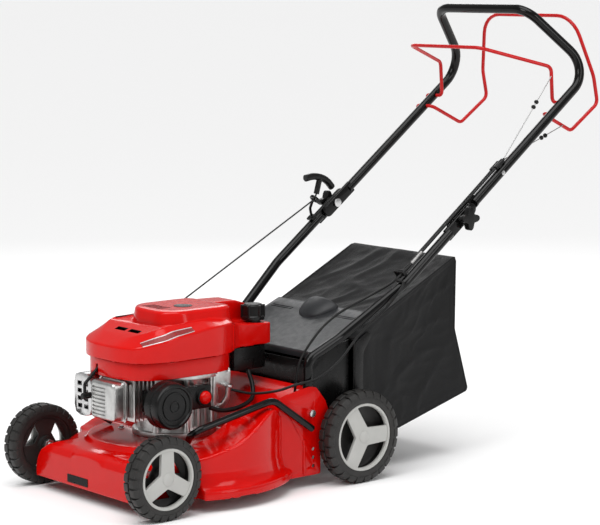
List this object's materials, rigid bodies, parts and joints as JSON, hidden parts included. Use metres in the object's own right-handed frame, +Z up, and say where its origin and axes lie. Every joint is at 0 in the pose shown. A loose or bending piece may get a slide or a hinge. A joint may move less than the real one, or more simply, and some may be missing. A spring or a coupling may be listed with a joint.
{
  "type": "push lawn mower",
  "caption": "Walk-behind petrol lawn mower: red pressed deck on four wheels, vertical-shaft engine, folding tube handle with two bails, rear flap and fabric grass bag.",
  "frame": {"origin": "on the ground under the middle of the bounding box, on the mower's centre plane", "axes": "+Z up; -Y is the direction of travel, so the handle and the bag are towards +Y; +X is the mower's left side"},
  "size_m": [0.442, 1.2132, 0.8874],
  "materials": {
    "deck_red": "glossy enamel",
    "cover_red": "glossy moulded",
    "tube_black": "glossy powder coat",
    "bail_red": "gloss",
    "black_plastic": "satin moulded",
    "dark_plastic": "fine grained",
    "grey_plastic": "satin moulded",
    "wheel_black": "matt moulded",
    "rubber": "matt",
    "cast_aluminium": "die cast, as cast",
    "steel": "bare",
    "zinc": "bright zinc plate",
    "bag_fabric": "woven, coated"
  },
  "bodies": {
    "chassis": {"deck_shell": "deck_red", "side_brace_left": "tube_black", "side_brace_right": "tube_black", "front_axle_left": "steel", "front_axle_right": "steel", "gearbox_housing": "cast_aluminium", "crankcase": "cast_aluminium", "valve_cover": "cast_aluminium", "muffler": "steel", "muffler_guard": "zinc", "spark_plug": "rubber", "carburettor": "black_plastic", "air_filter_cover": "black_plastic", "blower_housing": "cover_red", "engine_shroud": "cover_red", "fuel_tank": "black_plastic", "breather_hose": "rubber", "lower_tube_left": "tube_black", "lower_tube_right": "tube_black", "foot_bolt_left": "zinc", "foot_bolt_right": "zinc", "rope_guide": "tube_black", "starter_rope": "rubber", "brake_cable": "rubber", "drive_cable": "rubber", "cable_clip": "black_plastic", "drive_belt": "rubber", "discharge_chute": "black_plastic", "flap_hinge_rod": "steel"},
    "upper_handle": {"upper_tube": "tube_black", "cable_holder": "black_plastic", "pivot_bolt_left": "zinc", "pivot_bolt_right": "zinc"},
    "brake_bail": {"brake_bail": "bail_red"},
    "drive_bail": {"drive_bail": "bail_red"},
    "knob_left": {"knob_left": "black_plastic"},
    "knob_right": {"knob_right": "black_plastic"},
    "rear_flap": {"rear_flap": "dark_plastic"},
    "grass_bag": {"grass_bag": "bag_fabric"},
    "starter_grip": {"starter_grip": "black_plastic"},
    "recoil_reel": {"recoil_reel": "black_plastic"},
    "fuel_cap": {"fuel_cap": "black_plastic"},
    "primer_bulb": {"primer_bulb": "cover_red"},
    "crank": {"crankshaft": "steel", "flywheel": "cast_aluminium", "blade_adapter": "steel", "blade": "steel", "blade_bolt": "zinc"},
    "gearbox_pulley": {"gearbox_pulley": "steel"},
    "clutch_lever": {"clutch_lever": "steel"},
    "brake_lever": {"brake_lever": "steel"},
    "rear_axle": {"rear_axle": "steel"},
    "front_wheel_left": {"front_wheel_left": "wheel_black", "front_hub_cap_left": "grey_plastic"},
    "front_wheel_right": {"front_wheel_right": "wheel_black", "front_hub_cap_right": "grey_plastic"},
    "rear_wheel_left": {"rear_wheel_left": "wheel_black", "rear_hub_cap_left": "grey_plastic"},
    "rear_wheel_right": {"rear_wheel_right": "wheel_black", "rear_hub_cap_right": "grey_plastic"}
  },
  "joints": [
    {"name": "front_wheel_left_spin", "type": "hinge", "parent": "chassis", "child": "front_wheel_left", "pos_m": [0.19, -0.5315, 0.075], "axis": [1, 0, 0], "continuous": true},
    {"name": "front_wheel_right_spin", "type": "hinge", "parent": "chassis", "child": "front_wheel_right", "pos_m": [-0.19, -0.5315, 0.075], "axis": [1, 0, 0], "continuous": true},
    {"name": "rear_wheel_left_spin", "type": "hinge", "parent": "chassis", "child": "rear_wheel_left", "pos_m": [0.19, -0.074, 0.0875], "axis": [1, 0, 0], "continuous": true},
    {"name": "rear_wheel_right_spin", "type": "hinge", "parent": "chassis", "child": "rear_wheel_right", "pos_m": [-0.19, -0.074, 0.0875], "axis": [1, 0, 0], "continuous": true},
    {"name": "rear_axle_spin", "type": "hinge", "parent": "chassis", "child": "rear_axle", "pos_m": [0, -0.074, 0.0875], "axis": [1, 0, 0], "continuous": true},
    {"name": "crank_spin", "type": "hinge", "parent": "chassis", "child": "crank", "pos_m": [0, -0.3635, 0.075], "axis": [0, 0, 1], "continuous": true},
    {"name": "gearbox_pulley_spin", "type": "hinge", "parent": "chassis", "child": "gearbox_pulley", "pos_m": [0, -0.1195, 0.082], "axis": [0, 0, 1], "continuous": true},
    {"name": "handle_fold", "type": "hinge", "parent": "chassis", "child": "upper_handle", "pos_m": [0, 0.1925, 0.4807], "axis": [1, 0, 0], "range_deg": [0, 110], "deforming": ["brake_cable", "drive_cable"]},
    {"name": "brake_bail_squeeze", "type": "hinge", "parent": "upper_handle", "child": "brake_bail", "pos_m": [0, 0.4715, 0.6917], "axis": [1, 0, 0], "range_deg": [-34, 0], "deforming": ["brake_cable"]},
    {"name": "drive_bail_squeeze", "type": "hinge", "parent": "upper_handle", "child": "drive_bail", "pos_m": [0, 0.4435, 0.6705], "axis": [1, 0, 0], "range_deg": [0, 24], "deforming": ["drive_cable"]},
    {"name": "brake_lever_swing", "type": "hinge", "parent": "chassis", "child": "brake_lever", "pos_m": [0.058, -0.3035, 0.2], "axis": [0, 0, 1], "range_deg": [0, 18]},
    {"name": "clutch_lever_swing", "type": "hinge", "parent": "chassis", "child": "clutch_lever", "pos_m": [0.022, -0.0995, 0.128], "axis": [0, 0, 1], "range_deg": [-17, 0]},
    {"name": "knob_left_turn", "type": "hinge", "parent": "upper_handle", "child": "knob_left", "pos_m": [0.2, 0.1925, 0.4807], "axis": [1, 0, 0], "range_deg": [0, 360]},
    {"name": "knob_right_turn", "type": "hinge", "parent": "upper_handle", "child": "knob_right", "pos_m": [-0.2, 0.1925, 0.4807], "axis": [1, 0, 0], "range_deg": [0, 360]},
    {"name": "rear_flap_lift", "type": "hinge", "parent": "chassis", "child": "rear_flap", "pos_m": [0, -0.1395, 0.24], "axis": [1, 0, 0], "range_deg": [0, 52]},
    {"name": "grass_bag_pull", "type": "slide", "parent": "chassis", "child": "grass_bag", "axis": [0, 1, 0], "range_m": [0, 0.4]},
    {"name": "starter_pull", "type": "slide", "parent": "chassis", "child": "starter_grip", "axis": [0, 0.2764, 0.9611], "range_m": [0, 0.5], "stiffness_N_per_m": 20},
    {"name": "recoil_reel_spin", "type": "hinge", "parent": "chassis", "child": "recoil_reel", "pos_m": [0, -0.3635, 0.27], "axis": [0, 0, 1], "range_deg": [0, 700]},
    {"name": "fuel_cap_turn", "type": "hinge", "parent": "chassis", "child": "fuel_cap", "pos_m": [0.03, -0.1995, 0.303], "axis": [0, 0, 1], "range_deg": [0, 90]},
    {"name": "primer_press", "type": "slide", "parent": "chassis", "child": "primer_bulb", "axis": [-1, 0, 0], "range_m": [0, 0.005], "stiffness_N_per_m": 400}
  ],
  "couplings": [
    {"joint": "gearbox_pulley_spin", "follows": "crank_spin", "ratio": 1},
    {"joint": "brake_lever_swing", "follows": "brake_bail_squeeze", "ratio": -0.5},
    {"joint": "clutch_lever_swing", "follows": "drive_bail_squeeze", "ratio": -0.7},
    {"joint": "recoil_reel_spin", "follows": "starter_pull", "rad_per_m": 23.8}
  ]
}
